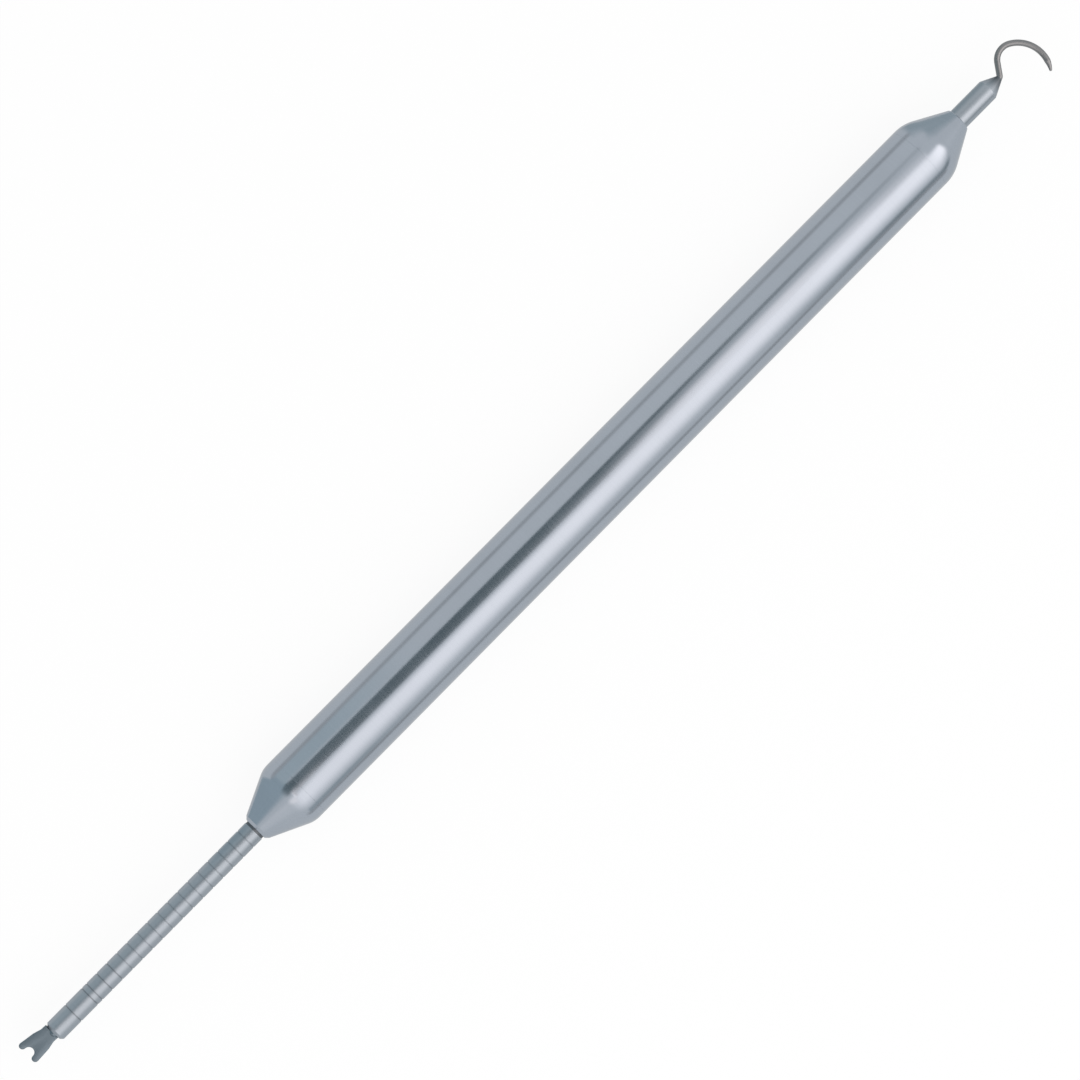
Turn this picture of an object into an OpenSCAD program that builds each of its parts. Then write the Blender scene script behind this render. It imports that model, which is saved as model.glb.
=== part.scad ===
// Double-ended orthodontic force gauge: a sprung stem slides through a polished barrel.
// A push on the fork or a pull on the hook moves the stem towards the hook, against one spring,
// and the rings on the stem are read at the mouth of the fork end.
// The instrument lies along X, fork to -X and hook to +X, and rests on the plane z = 0.

/* [Barrel] */
// Outside diameter of the barrel
barrel_d = 8; // [7.2:0.1:10]
// Wall of the barrel tube
barrel_wall = 0.8; // [0.5:0.05:1.1]
// Length of the tube between its two end caps
tube_len = 96.2; // [85:0.1:120]
// Edge break on both sides of each seam between tube and cap
seam_break = 0.02; // [0.02:0.01:0.15]

/* [End caps] */
// Length of the cone at the fork end
fork_cone_len = 5.1; // [4:0.1:7]
// Radius that blends the fork end's cone into the barrel
fork_shoulder_r = 2.2; // [0.5:0.1:5]
// Width of the lip round the stem at the fork end, with its bevel
fork_lip = 0.41; // [0.4:0.01:0.6]
// Bevel on the outer edge of the lip at the fork end
fork_lip_bevel = 0.35; // [0.1:0.01:0.38]
// Length of the cone at the hook end
hook_cone_len = 4.7; // [4:0.1:7]
// Radius that blends the hook end's cone into the barrel
hook_shoulder_r = 4.6; // [0.5:0.1:5]
// Width of the lip round the stub at the hook end, with its bevel
hook_lip = 0.15; // [0.1:0.01:0.5]
// Bevel on the outer edge of the lip at the hook end
hook_lip_bevel = 0.06; // [0.02:0.01:0.09]
// Straight band between each cone and the seam
cap_band = 1.5; // [0.8:0.1:3]
// Length of the fork end's spigot in the tube
fork_spigot_len = 4.8; // [4:0.1:8]
// Length of the hook end's spigot in the tube
hook_spigot_len = 7; // [4:0.1:10]
// Width of the thread relief behind the hook end's screwed spigot
relief_w = 0.6; // [0.3:0.1:1.2]
// Depth of that relief
relief_depth = 0.25; // [0.1:0.05:0.4]

/* [Guide bushes] */
// Length of each bush
bush_len = 8; // [5:0.1:9]
// Wall of each bush
bush_wall = 0.72; // [0.4:0.02:0.9]
// Running clearance round the stem in the bushes and in the spring seat
running_clear = 0.03; // [0.01:0.01:0.08]
// Clearance round the stem in the mouths of the caps
mouth_clear = 0.08; // [0.04:0.01:0.2]
// Chamfer on the edges of bushes, nuts and spring seat
edge_chamfer = 0.15; // [0.05:0.05:0.18]

/* [Stem] */
// Diameter of the stem and of the stub at the hook end
stem_d = 2.5; // [2.2:0.05:3]
// Plain length of the stem past the last division
stem_tail = 6.2; // [5:0.1:10]
// Chamfer on the fork end of the stem
stem_chamfer = 0.3; // [0.1:0.05:0.6]
// Depth in the hook end at which the stem meets the hook holder
holder_sink = 4; // [2:0.1:6]
// Diameter of the stem's threaded spigot in the hook holder
stem_thread_d = 1.6; // [1.2:0.1:1.8]
// Length of that spigot
stem_thread_len = 3.5; // [2:0.1:4.5]
// Chamfer on the end of that spigot
stem_thread_chamfer = 0.2; // [0.1:0.05:0.4]

/* [Scale] */
// Divisions on the stem
divisions = 16; // [8:1:18]
// Distance between rings
ring_pitch = 1.53; // [1.2:0.01:2]
// Width of a ring groove
ring_w = 0.15; // [0.08:0.01:0.3]
// Depth of a ring groove
ring_depth = 0.06; // [0.03:0.01:0.12]
// Distance from the last division to the ring that doubles it
double_gap = 0.7; // [0.4:0.05:1]
// Distance from the last division to the end ring
end_ring_gap = 3.2; // [2:0.1:4.5]
// Width of the zero ring at the mouth
zero_ring_w = 0.3; // [0.1:0.01:0.5]

/* [Fork] */
// Length of the fork in front of the stem
fork_len = 3.7; // [3.4:0.1:6]
// Width of the fork over its prongs
fork_w = 2.7; // [2.2:0.05:3]
// Width of the blade where it starts to run straight
fork_blade_w = 2.35; // [2:0.05:2.8]
// Thickness of the blade
fork_thick = 0.9; // [0.6:0.05:1.2]
// Width of the neck next to the stem
fork_neck_w = 1.9; // [1.3:0.05:2.2]
// Length of the neck
fork_neck_len = 0.7; // [0.4:0.1:1.2]
// Length over which the neck flares into the blade
fork_flare_len = 0.9; // [0.5:0.1:1.4]
// Width of the notch
notch_w = 1.15; // [0.8:0.05:1.4]
// Depth of the notch
notch_depth = 0.95; // [0.8:0.05:1.6]
// Sideways offset of the blade from the stem's axis
fork_offset = 0.24; // [0:0.02:0.4]
// Sideways lean of the blade in degrees
fork_lean = 3; // [0:0.5:5]
// Length of the round root between the stem and the blade
fork_root_len = 0.4; // [0.2:0.1:0.7]
// Diameter of the round tang in the stem
tang_d = 1.2; // [0.9:0.05:1.5]
// Length of the tang
tang_len = 3; // [2:0.1:4]

/* [Hook] */
// Length of the stub outside the hook end
stub_len = 4.7; // [3:0.1:8]
// Length of the conical nose
nose_len = 1.7; // [1:0.1:3]
// Wall round the wire at the nose's tip
nose_lip = 0.05; // [0.04:0.01:0.2]
// Diameter of the hook's wire
hook_wire_d = 0.7; // [0.4:0.05:0.8]
// Diameter of the wire at the hook's tip
hook_tip_d = 0.28; // [0.2:0.02:0.4]
// Length over which the wire tapers to the tip
hook_taper_len = 1.2; // [1:0.1:5]
// Radius of the first bend, at the nose
hook_root_r = 0.45; // [0.45:0.05:1.2]
// Turn of the first bend in degrees
hook_root_turn = 54; // [40:1:60]
// Straight leg after the first bend
hook_leg_len = 1.46; // [0.8:0.02:2]
// Radius of the knee
hook_knee_r = 1.85; // [1.4:0.05:2.4]
// Turn of the knee in degrees
hook_knee_turn = 84; // [75:1:95]
// Radius of the bow
hook_bow_r = 3.65; // [3:0.05:4.5]
// Turn of the bow in degrees
hook_bow_turn = 97; // [70:1:100]
// Length of the wire's shank in the nose
hook_shank_len = 3; // [2:0.1:4]
// Clearance round the shank, filled by braze
braze_gap = 0.02; // [0.01:0.01:0.05]

/* [Spring] */
// Diameter of the spring's wire
spring_wire_d = 0.5; // [0.35:0.05:0.6]
// Clearance between the spring and the stem
spring_clear = 0.9; // [0.7:0.05:1]
// Working turns of the spring
spring_turns = 27; // [18:1:32]
// Closely wound turns at each end of the spring
end_turns = 1.5; // [1:0.5:2]
// Pitch of the end turns
end_pitch = 0.95; // [0.95:0.05:1.2]
// Thickness of the seat's flange
seat_flange = 1.5; // [0.8:0.1:3]
// Length of the seat's pilot in the spring
pilot_len = 2.3; // [1:0.1:4]
// Clearance between the pilot and the spring
pilot_clear = 0.1; // [0.05:0.05:0.3]
// Clearance between the seat and the tube
seat_clear = 0.08; // [0.04:0.01:0.3]
// Travel past the last division before the stop
overtravel = 1.5; // [0.5:0.1:3]

/* [Stops and nuts] */
// Thickness of the two retaining clips
clip_thick = 0.6; // [0.4:0.05:0.8]
// Clearance between the clips and the spring
clip_clear = 0.07; // [0.05:0.01:0.15]
// Depth of a clip's groove in the stem
clip_groove_depth = 0.3; // [0.2:0.05:0.4]
// Width of a clip's three lugs
clip_lug_w = 0.7; // [0.5:0.05:0.9]
// Width of a clip's rim
clip_rim = 0.45; // [0.3:0.05:0.5]
// Play of a clip in its groove, and between faces that turn on each other
face_play = 0.04; // [0.02:0.01:0.1]
// Thickness of the washers
washer_thick = 0.5; // [0.3:0.05:1]
// Clearance round the washers in the tube
washer_clear = 0.3; // [0.1:0.05:0.5]
// Clearance round the stem in washers, nuts and buffer
bore_clear = 0.2; // [0.1:0.05:0.4]
// Thickness of the return buffer
buffer_thick = 0.8; // [0.4:0.1:2]
// Length of the calibration nut
nut_len = 3; // [2:0.1:5]
// Length of the lock nut
lock_len = 2; // [1.2:0.1:4]
// Free room between the lock nut and the hook end's spigot
nut_room = 2.5; // [0.5:0.1:6]
// Width of the spanner slots in both nuts
nut_slot_w = 0.9; // [0.5:0.1:1.4]
// Depth of the spanner slots
nut_slot_depth = 0.8; // [0.4:0.1:1]

/* [Hidden] */

$fn = 64;
// Reach of a cutting tool past the face that it cuts
cut = 0.5;

steel = [0.70, 0.73, 0.77];
dark_steel = [0.38, 0.42, 0.46];
bright_steel = [0.80, 0.82, 0.85];
bronze = [0.72, 0.56, 0.34];
brass = [0.80, 0.68, 0.38];
white_ptfe = [0.92, 0.92, 0.90];
spring_steel = [0.58, 0.60, 0.64];

// Radii that fits are taken from
barrel_r = barrel_d / 2;
tube_bore_r = barrel_r - barrel_wall;
stem_r = stem_d / 2;
mouth_r = stem_r + mouth_clear;
guide_r = stem_r + running_clear;
bush_r = guide_r + bush_wall;
loose_bore_r = stem_r + bore_clear;
washer_r = tube_bore_r - washer_clear;
spring_wire_r = spring_wire_d / 2;
spring_r = stem_r + spring_clear + spring_wire_r;
rings_per_turn = 8;
spring_inner_r = spring_r * cos(180 / rings_per_turn) - spring_wire_r;
clip_groove_r = stem_r - clip_groove_depth;
clip_r = spring_inner_r - clip_clear;
hook_bore_r = hook_wire_d / 2 + braze_gap;
nose_tip_r = hook_bore_r + nose_lip;

// Places along the axis, from the mouth of the fork end towards the hook
tube_start = fork_cone_len + cap_band;
tube_end = tube_start + tube_len;
body_len = tube_end + cap_band + hook_cone_len;
fork_spigot_end = tube_start + fork_spigot_len;
hook_spigot_end = tube_end - hook_spigot_len;
buffer_end = fork_spigot_end + buffer_thick;
seat_clip_start = buffer_end + face_play;
thrust_start = seat_clip_start + clip_thick + face_play;
seat_start = thrust_start + washer_thick;
spring_start = seat_start + seat_flange + face_play;
lock_start = hook_spigot_end - nut_room - lock_len;
nut_start = lock_start - nut_len;
spring_end = nut_start - washer_thick;
stem_joint = body_len - holder_sink;
nose_start = body_len + stub_len;
nose_end = nose_start + nose_len;

// Scale, travel and stop
scale_len = divisions * ring_pitch;
stem_len = scale_len + stem_tail;
travel = scale_len + overtravel;
travel_clip_start = spring_end - face_play - travel - clip_thick;
zero_ring = -zero_ring_w / 2;
ring_places = [
    for (k = [1:divisions]) -k * ring_pitch,
    -scale_len - double_gap,
    -scale_len - end_ring_gap
];

// Course of the hook's wire from the nose: stretches of [length, turn], a turn to +Y being positive
function arc_len(r, turn) = r * turn * PI / 180;
hook_stretches = [
    [arc_len(hook_root_r, hook_root_turn), hook_root_turn],
    [hook_leg_len, 0],
    [arc_len(hook_knee_r, hook_knee_turn), -hook_knee_turn],
    [arc_len(hook_bow_r, hook_bow_turn), -hook_bow_turn]
];
hook_steps = [5, 2, 12, 14];
function hook_heading(i) = i == 0 ? 0 : hook_heading(i - 1) + hook_stretches[i - 1][1];
function hook_start_len(i) = i == 0 ? 0 : hook_start_len(i - 1) + hook_stretches[i - 1][0];
function hook_move(i, share) =
    let (run = hook_stretches[i][0], turn = hook_stretches[i][1], from = hook_heading(i), to = from + share * turn)
    turn == 0
        ? share * run * [cos(from), sin(from)]
        : run / (turn * PI / 180) * [sin(to) - sin(from), cos(from) - cos(to)];
function hook_corner(i) = i == 0 ? [0, 0] : hook_corner(i - 1) + hook_move(i - 1, 1);
hook_len = hook_start_len(len(hook_stretches));
function hook_r(at) =
    let (share = max(0, (at - (hook_len - hook_taper_len)) / hook_taper_len))
    hook_wire_d / 2 * (1 - share) + hook_tip_d / 2 * share;
// Rings of the wire: [point, heading, radius], from the end of the shank to the rounded tip
hook_tip = hook_corner(len(hook_stretches));
hook_tip_heading = hook_heading(len(hook_stretches));
hook_tip_round = hook_tip_d / 4;
hook_rings = [
    [[-hook_shank_len, 0], 0, hook_wire_d / 2],
    for (i = [0:len(hook_stretches) - 1]) for (j = [0:hook_steps[i] - 1])
        let (share = j / hook_steps[i])
        [
            hook_corner(i) + hook_move(i, share),
            hook_heading(i) + share * hook_stretches[i][1],
            hook_r(hook_start_len(i) + share * hook_stretches[i][0])
        ],
    [hook_tip, hook_tip_heading, hook_tip_d / 2],
    [
        hook_tip + hook_tip_round * [cos(hook_tip_heading), sin(hook_tip_heading)],
        hook_tip_heading,
        hook_tip_d / 2 - hook_tip_round
    ]
];
hook_reach = max([for (ring = hook_rings) ring[0][0] + ring[2] * abs(sin(ring[1]))]);

// The part's middle lies on x = 0
x_middle = (nose_end + hook_reach - stem_len - fork_len) / 2;

// Course of the spring: turns wound closely at both ends and evenly between
spring_len = spring_end - spring_start;
active_pitch = (spring_len - spring_wire_d - 2 * end_turns * end_pitch) / spring_turns;
total_turns = spring_turns + 2 * end_turns;
function spring_rise(turn) =
    spring_wire_r
    + end_pitch * min(turn, end_turns)
    + active_pitch * min(max(turn - end_turns, 0), spring_turns)
    + end_pitch * max(turn - end_turns - spring_turns, 0);
spring_path = [
    for (k = [0:total_turns * rings_per_turn])
        let (turn = k / rings_per_turn)
        [spring_r * cos(360 * turn), spring_r * sin(360 * turn), spring_rise(turn)]
];
spring_gap = min([
    for (k = [0:len(spring_path) - 1 - rings_per_turn])
        norm(spring_path[k + rings_per_turn] - spring_path[k]) - spring_wire_d
]);
echo(str("return_spring: least gap to itself ", spring_gap, " mm over ", total_turns, " turns"));

function unit(v) = v / norm(v);

// Closed tube through rings of points, as triangles
module skin(rings, sides) {
    last = len(rings) - 1;
    points = [for (ring = rings) for (p = ring) p];
    walls = [
        for (i = [0:last - 1]) for (j = [0:sides - 1])
            let (a = i * sides + j, b = i * sides + (j + 1) % sides)
            each [[a, b + sides, b], [a, a + sides, b + sides]]
    ];
    first_cap = [for (j = [1:sides - 2]) [0, j, j + 1]];
    last_cap = [for (j = [1:sides - 2]) [last * sides, last * sides + j + 1, last * sides + j]];
    polyhedron(points, concat(walls, first_cap, last_cap));
}

// Puts a turned shape on the instrument's axis: its own z runs towards the hook from the place given
module on_axis(place) {
    translate([place - x_middle, 0, barrel_r]) rotate([0, 90, 0]) children();
}

// Puts a shape drawn in the hook's plane at the place given
module in_plane(place) {
    translate([place - x_middle, 0, barrel_r]) children();
}

// Turned ring with chamfered outer edges, and chamfered inner ones where lead is given
module turned_ring(outer_r, inner_r, length, lead = 0) {
    rotate_extrude() polygon([
        [inner_r + lead, 0],
        [outer_r - edge_chamfer, 0],
        [outer_r, edge_chamfer],
        [outer_r, length - edge_chamfer],
        [outer_r - edge_chamfer, length],
        [inner_r + lead, length],
        if (lead > 0) each [[inner_r, length - lead], [inner_r, lead]]
    ]);
}

// Plain flat ring
module ring(outer_r, inner_r, length) {
    difference() {
        cylinder(r = outer_r, h = length);
        translate([0, 0, -cut]) cylinder(r = inner_r, h = length + 2 * cut);
    }
}

// Section of an end cap, from its mouth at z = 0 inwards, with the shoulder rounded by a true arc
module cap_section(cone_len, shoulder_r, lip, lip_bevel, spigot_len, screwed) {
    seam = cone_len + cap_band;
    inner_end = seam + spigot_len;
    bush_end = inner_end - bush_len;
    lip_r = mouth_r + lip;
    half_angle = atan((barrel_r - lip_r) / (cone_len - lip_bevel));
    tangent = min(shoulder_r * tan(half_angle / 2), cap_band - seam_break);
    round_r = tangent / tan(half_angle / 2);
    difference() {
        polygon([
            [mouth_r, 0],
            [lip_r - lip_bevel, 0],
            [lip_r, lip_bevel],
            [barrel_r, cone_len],
            [barrel_r, seam - seam_break],
            [barrel_r - seam_break, seam],
            if (screwed) each [
                [tube_bore_r - relief_depth, seam],
                [tube_bore_r - relief_depth, seam + relief_w]
            ],
            [tube_bore_r, screwed ? seam + relief_w : seam],
            [tube_bore_r, inner_end - edge_chamfer],
            [tube_bore_r - edge_chamfer, inner_end],
            [bush_r, inner_end],
            [bush_r, bush_end],
            [mouth_r, bush_end]
        ]);
        difference() {
            polygon([
                [barrel_r - round_r, cone_len + tangent],
                [barrel_r - tangent * sin(half_angle), cone_len - tangent * cos(half_angle)],
                [barrel_r + cut, cone_len - tangent * cos(half_angle)],
                [barrel_r + cut, cone_len + tangent]
            ]);
            translate([barrel_r - round_r, cone_len + tangent]) circle(r = round_r);
        }
    }
}

module barrel_tube() {
    color(steel) on_axis(tube_start) rotate_extrude() polygon([
        [tube_bore_r, 0],
        [barrel_r - seam_break, 0],
        [barrel_r, seam_break],
        [barrel_r, tube_len - seam_break],
        [barrel_r - seam_break, tube_len],
        [tube_bore_r, tube_len]
    ]);
}

module fork_end_cap() {
    color(steel) on_axis(0) rotate_extrude()
        cap_section(
            fork_cone_len, fork_shoulder_r, fork_lip, fork_lip_bevel, fork_spigot_len, screwed = false
        );
}

module hook_end_cap() {
    color(steel) on_axis(body_len) mirror([0, 0, 1]) rotate_extrude()
        cap_section(
            hook_cone_len, hook_shoulder_r, hook_lip, hook_lip_bevel, hook_spigot_len, screwed = true
        );
}

module fork_guide_bush() {
    color(bronze) on_axis(fork_spigot_end - bush_len) turned_ring(bush_r, guide_r, bush_len, edge_chamfer);
}

module hook_guide_bush() {
    color(bronze) on_axis(hook_spigot_end) turned_ring(bush_r, guide_r, bush_len, edge_chamfer);
}

module return_buffer() {
    color(white_ptfe) on_axis(fork_spigot_end) ring(tube_bore_r, loose_bore_r, buffer_thick);
}

module return_spring() {
    sides = 6;
    last = len(spring_path) - 1;
    rings = [
        for (k = [0:last])
            let (
                p = spring_path[k],
                ahead = unit(spring_path[min(k + 1, last)] - spring_path[max(k - 1, 0)]),
                out = unit([p[0], p[1], 0]),
                side = cross(ahead, out)
            )
            [for (j = [0:sides - 1]) p + spring_wire_r * (cos(360 * j / sides) * out + sin(360 * j / sides) * side)]
    ];
    color(spring_steel) on_axis(spring_start) skin(rings, sides);
}

module spring_washer() {
    color(bright_steel) on_axis(spring_end) ring(washer_r, loose_bore_r, washer_thick);
}

// Ring nut with two spanner slots across its outer face
module ring_nut(length) {
    difference() {
        turned_ring(tube_bore_r, loose_bore_r, length);
        translate([-tube_bore_r - cut, -nut_slot_w / 2, length - nut_slot_depth])
            cube([2 * (tube_bore_r + cut), nut_slot_w, nut_slot_depth + cut]);
    }
}

module calibration_nut() {
    color(brass) on_axis(nut_start) ring_nut(nut_len);
}

module lock_nut() {
    color(brass) on_axis(lock_start) ring_nut(lock_len);
}

module spring_seat() {
    flange_r = tube_bore_r - seat_clear;
    pilot_r = spring_inner_r - pilot_clear;
    pilot_end = seat_flange + pilot_len;
    color(brass) on_axis(seat_start) rotate_extrude() polygon([
        [guide_r, 0],
        [flange_r - edge_chamfer, 0],
        [flange_r, edge_chamfer],
        [flange_r, seat_flange - edge_chamfer],
        [flange_r - edge_chamfer, seat_flange],
        [pilot_r, seat_flange],
        [pilot_r, pilot_end - edge_chamfer],
        [pilot_r - edge_chamfer, pilot_end],
        [guide_r, pilot_end]
    ]);
}

module thrust_washer() {
    color(bright_steel) on_axis(thrust_start) ring(washer_r, guide_r, washer_thick);
}

// Groove for a retaining clip
module clip_groove(place) {
    on_axis(place - face_play / 2) ring(stem_r + cut, clip_groove_r, clip_thick + face_play);
}

// Ring groove of the scale, centred on the place given
module scale_groove(place, width) {
    on_axis(place - width / 2) ring(stem_r + cut, stem_r - ring_depth, width);
}

module stem() {
    thread_r = stem_thread_d / 2;
    shoulder = stem_len + stem_joint;
    thread_end = shoulder + stem_thread_len;
    color(steel) difference() {
        on_axis(-stem_len) rotate_extrude() polygon([
            [0, 0],
            [stem_r - stem_chamfer, 0],
            [stem_r, stem_chamfer],
            [stem_r, shoulder],
            [thread_r, shoulder],
            [thread_r, thread_end - stem_thread_chamfer],
            [thread_r - stem_thread_chamfer, thread_end],
            [0, thread_end]
        ]);
        on_axis(-stem_len - cut) cylinder(d = tang_d, h = tang_len + cut);
        scale_groove(zero_ring, zero_ring_w);
        for (place = ring_places) scale_groove(place, ring_w);
        clip_groove(seat_clip_start);
        clip_groove(travel_clip_start);
    }
}

// Retaining clip with three lugs and a mouth
module clip() {
    linear_extrude(clip_thick) difference() {
        union() {
            difference() {
                circle(r = clip_r);
                circle(r = clip_r - clip_rim);
                translate([-clip_groove_r, 0]) square([2 * clip_groove_r, clip_r + cut]);
            }
            for (turn = [0, 180, 270]) rotate(turn) translate([0, -clip_lug_w / 2])
                square([clip_r - clip_rim / 2, clip_lug_w]);
        }
        circle(r = clip_groove_r);
    }
}

module seat_clip() {
    color(spring_steel) on_axis(seat_clip_start) clip();
}

module travel_clip() {
    color(spring_steel) on_axis(travel_clip_start) clip();
}

module hook_holder() {
    color(steel) difference() {
        on_axis(stem_joint) rotate_extrude() polygon([
            [0, 0],
            [stem_r, 0],
            [stem_r, nose_start - stem_joint],
            [nose_tip_r, nose_end - stem_joint],
            [0, nose_end - stem_joint]
        ]);
        on_axis(stem_joint - cut) cylinder(d = stem_thread_d, h = stem_thread_len + cut);
        on_axis(nose_end - hook_shank_len) cylinder(r = hook_bore_r, h = hook_shank_len + cut);
    }
}

module hook_wire() {
    sides = 12;
    rings = [
        for (ring = hook_rings)
            let (across = [-sin(ring[1]), cos(ring[1]), 0])
            [
                for (j = [0:sides - 1])
                    [ring[0][0], ring[0][1], 0]
                    + ring[2] * (cos(360 * j / sides) * across + sin(360 * j / sides) * [0, 0, 1])
            ]
    ];
    color(steel) in_plane(nose_end) skin(rings, sides);
}

// Outline of the fork from the stem's end outwards, with round prongs and a round-bottomed notch
function fork_middle(along) = fork_offset + along * tan(fork_lean);
module fork_outline() {
    prong_r = (fork_w - notch_w) / 4;
    prong_at = fork_len - prong_r;
    notch_at = fork_len - notch_depth + notch_w / 2;
    edge = [
        [0, fork_neck_w / 2],
        [fork_neck_len, fork_neck_w / 2],
        [fork_neck_len + fork_flare_len, fork_blade_w / 2],
        [prong_at, fork_w / 2]
    ];
    difference() {
        union() {
            polygon([
                for (p = edge) [p[0], fork_middle(p[0]) + p[1]],
                for (i = [len(edge) - 1:-1:0]) [edge[i][0], fork_middle(edge[i][0]) - edge[i][1]]
            ]);
            for (side = [-1, 1])
                translate([prong_at, fork_middle(prong_at) + side * (fork_w / 2 - prong_r)]) circle(r = prong_r);
        }
        translate([notch_at, fork_middle(prong_at)]) circle(d = notch_w);
        translate([notch_at, fork_middle(prong_at) - notch_w / 2]) square([notch_depth, notch_w]);
    }
}

module fork_tip() {
    color(dark_steel) union() {
        in_plane(-stem_len) translate([0, 0, -fork_thick / 2])
            linear_extrude(fork_thick) mirror([1, 0]) fork_outline();
        on_axis(-stem_len - fork_root_len) cylinder(d = tang_d, h = fork_root_len + tang_len);
    }
}

barrel_tube();
fork_end_cap();
hook_end_cap();
fork_guide_bush();
hook_guide_bush();
return_buffer();
return_spring();
spring_washer();
calibration_nut();
lock_nut();
spring_seat();
thrust_washer();
stem();
seat_clip();
travel_clip();
hook_holder();
hook_wire();
fork_tip();
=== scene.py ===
"""Looks of a double-ended orthodontic force gauge: polished steel, an engraved scale, a wire hook and a fork.

The instrument lies along X, fork to -X and hook to +X, on the floor plane z = 0. Lengths are in metres.
"""
import logging
import math
from dataclasses import dataclass, replace
from enum import Enum
from typing import Any, NamedTuple

import bmesh
import bpy
from bpy.types import Material, Mesh, Node, NodeSocket, NodeTree, Object
from mathutils import Matrix, Vector


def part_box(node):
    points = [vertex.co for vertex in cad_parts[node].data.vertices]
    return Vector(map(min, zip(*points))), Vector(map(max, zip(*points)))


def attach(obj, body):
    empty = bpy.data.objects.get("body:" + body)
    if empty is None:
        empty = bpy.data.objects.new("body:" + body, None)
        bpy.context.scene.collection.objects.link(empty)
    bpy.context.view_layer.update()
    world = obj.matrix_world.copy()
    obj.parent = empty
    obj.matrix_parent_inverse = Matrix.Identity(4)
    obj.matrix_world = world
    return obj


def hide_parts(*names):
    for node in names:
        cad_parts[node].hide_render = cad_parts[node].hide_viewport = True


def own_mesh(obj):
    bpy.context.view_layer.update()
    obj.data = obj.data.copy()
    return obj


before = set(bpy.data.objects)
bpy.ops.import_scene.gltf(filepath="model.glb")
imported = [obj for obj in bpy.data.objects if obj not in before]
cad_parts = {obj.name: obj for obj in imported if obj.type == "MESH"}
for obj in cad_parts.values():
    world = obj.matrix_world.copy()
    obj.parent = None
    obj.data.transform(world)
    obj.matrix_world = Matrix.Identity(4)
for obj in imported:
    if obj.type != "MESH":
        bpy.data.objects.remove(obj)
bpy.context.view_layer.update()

LOG = logging.getLogger("force_gauge")
MM = 0.001
MICRON = 1e-6
WHITE = (1.0, 1.0, 1.0, 1.0)
SHARP_ANGLE = math.radians(28.0)
ARC_STEP = math.radians(4.0)
SUPPORT_REACH = 0.12 * MM
WELD_REACH = 0.05 * MICRON
BARREL_SIDES = 160
ROD_SIDES = 72
WIRE_SIDES = 28
SPRING_SIDES = 14

Colour = tuple[float, float, float]
Point2 = tuple[float, float]


class Part(Enum):
    """Bodies that the pieces made here ride on."""

    BARREL = "barrel"
    STEM = "stem"


class Grain(Enum):
    """Way that a tool's fine lines run, as their spread along X, Y and Z."""

    AROUND = (1.0, 0.03, 0.03)
    ALONG = (0.02, 1.0, 1.0)
    CLOUDED = (1.0, 1.0, 1.0)


class NodeSketch:
    """Helper that adds and joins the nodes of one tree."""

    PREFIX = "ShaderNode"

    def __init__(self, tree: NodeTree) -> None:
        """Starts from an empty tree."""
        self.tree = tree
        tree.nodes.clear()

    def add(self, kind: str, inputs: dict[Any, Any] | None = None, **settings: Any) -> Node:
        """Adds a node.

        Args:
            kind: Node type, whole or without the usual prefix.
            inputs: Values or output sockets by input name or number.
            settings: Properties of the node.

        Returns:
            The new node.
        """
        node = self.tree.nodes.new(kind if "Node" in kind else self.PREFIX + kind)
        for name, value in settings.items():
            setattr(node, name, value)
        for key, value in (inputs or {}).items():
            if isinstance(value, NodeSocket):
                self.tree.links.new(value, node.inputs[key])
            else:
                node.inputs[key].default_value = value
        return node

    def out(self, kind: str, inputs: dict[Any, Any] | None = None, **settings: Any) -> NodeSocket:
        """Adds a node and returns its first output."""
        return self.add(kind, inputs, **settings).outputs[0]

    def maths(self, operation: str, *values: Any) -> NodeSocket:
        """Adds a Math node on numbers or sockets and returns its output."""
        return self.out("ShaderNodeMath", dict(enumerate(values)), operation=operation)

    def blend(self, share: Any, first: Any, second: Any) -> NodeSocket:
        """Mixes two colours and returns the result."""
        return self.add("ShaderNodeMix", {"Factor": share, 6: first, 7: second}, data_type="RGBA").outputs[2]

    def ramp(self, value: Any, given: Point2, made: Point2 = (0.0, 1.0), kind: str = "SMOOTHSTEP") -> NodeSocket:
        """Maps a number from one range to another and keeps it there.

        Args:
            value: Number to map.
            given: Start and end of its range.
            made: Results at the start and the end.
            kind: How it goes from one to the other.

        Returns:
            The mapped number.
        """
        ends = dict(zip(("From Min", "From Max", "To Min", "To Max"), (*given, *made)))
        return self.out("ShaderNodeMapRange", {"Value": value, **ends}, interpolation_type=kind)


def new_material(name: str) -> tuple[Material, NodeSketch]:
    """Makes an empty node material.

    Args:
        name: Name of the material.

    Returns:
        The material and a sketch of its tree.
    """
    material = bpy.data.materials.new(name)
    material.use_nodes = True
    return material, NodeSketch(material.node_tree)


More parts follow.
